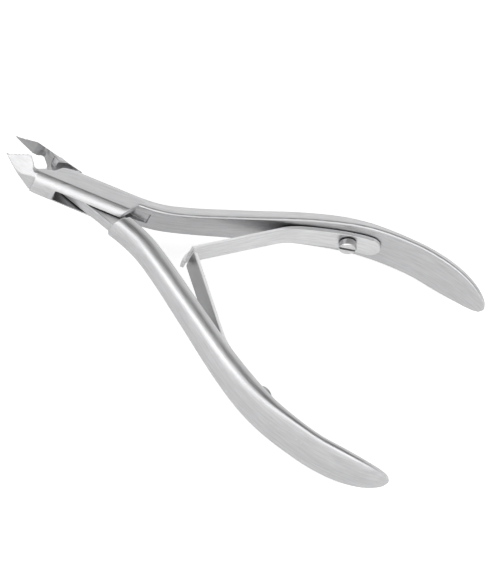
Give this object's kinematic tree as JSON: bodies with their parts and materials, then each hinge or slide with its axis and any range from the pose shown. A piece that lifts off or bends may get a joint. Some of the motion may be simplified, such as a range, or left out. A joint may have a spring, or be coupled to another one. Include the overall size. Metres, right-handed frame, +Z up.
{
  "type": "cuticle nipper",
  "caption": "Box-joint cuticle nipper in satin steel, with pointed bevelled jaws, bowed handles and a double leaf spring, one leaf lapped over the other, that opens them.",
  "frame": {"origin": "middle of the bounding box's underside, on the surface that the open nipper lies on", "axes": "+X from the jaws to the handle ends, +Y towards the outer arm's handle, +Z up along the pivot pin"},
  "size_m": [0.1003, 0.0602, 0.01],
  "materials": {
    "satin_steel": "satin, finely brushed, bevels ground brighter",
    "spring_steel": "satin strip, brushed along its length",
    "polished_steel": "fine turned and polished"
  },
  "bodies": {
    "outer_arm": {"outer_arm": "satin_steel", "pivot_pin": "polished_steel", "upper_spring_screw": "polished_steel"},
    "inner_arm": {"inner_arm": "satin_steel", "lower_spring_screw": "polished_steel"},
    "upper_spring": {"upper_leaf_spring": "spring_steel"},
    "lower_spring": {"lower_leaf_spring": "spring_steel"}
  },
  "joints": [
    {"name": "pivot", "type": "hinge", "parent": "outer_arm", "child": "inner_arm", "pos_m": [-0.0319, 0, 0.005], "axis": [0, 0, 1], "range_deg": [0, 15], "stiffness_Nm_per_rad": 1, "springref_deg": -17.19},
    {"name": "upper_spring_bend", "type": "hinge", "parent": "outer_arm", "child": "upper_spring", "pos_m": [0.0085, 0.0182, 0.005], "axis": [0, 0, 1], "range_deg": [-10, 0], "deforming": ["upper_leaf_spring"]},
    {"name": "lower_spring_bend", "type": "hinge", "parent": "inner_arm", "child": "lower_spring", "pos_m": [0.0085, -0.0182, 0.005], "axis": [0, 0, 1], "range_deg": [0, 10], "deforming": ["lower_leaf_spring"]}
  ],
  "couplings": [
    {"joint": "upper_spring_bend", "follows": "pivot", "ratio": -0.618},
    {"joint": "lower_spring_bend", "follows": "pivot", "ratio": 0.618}
  ]
}
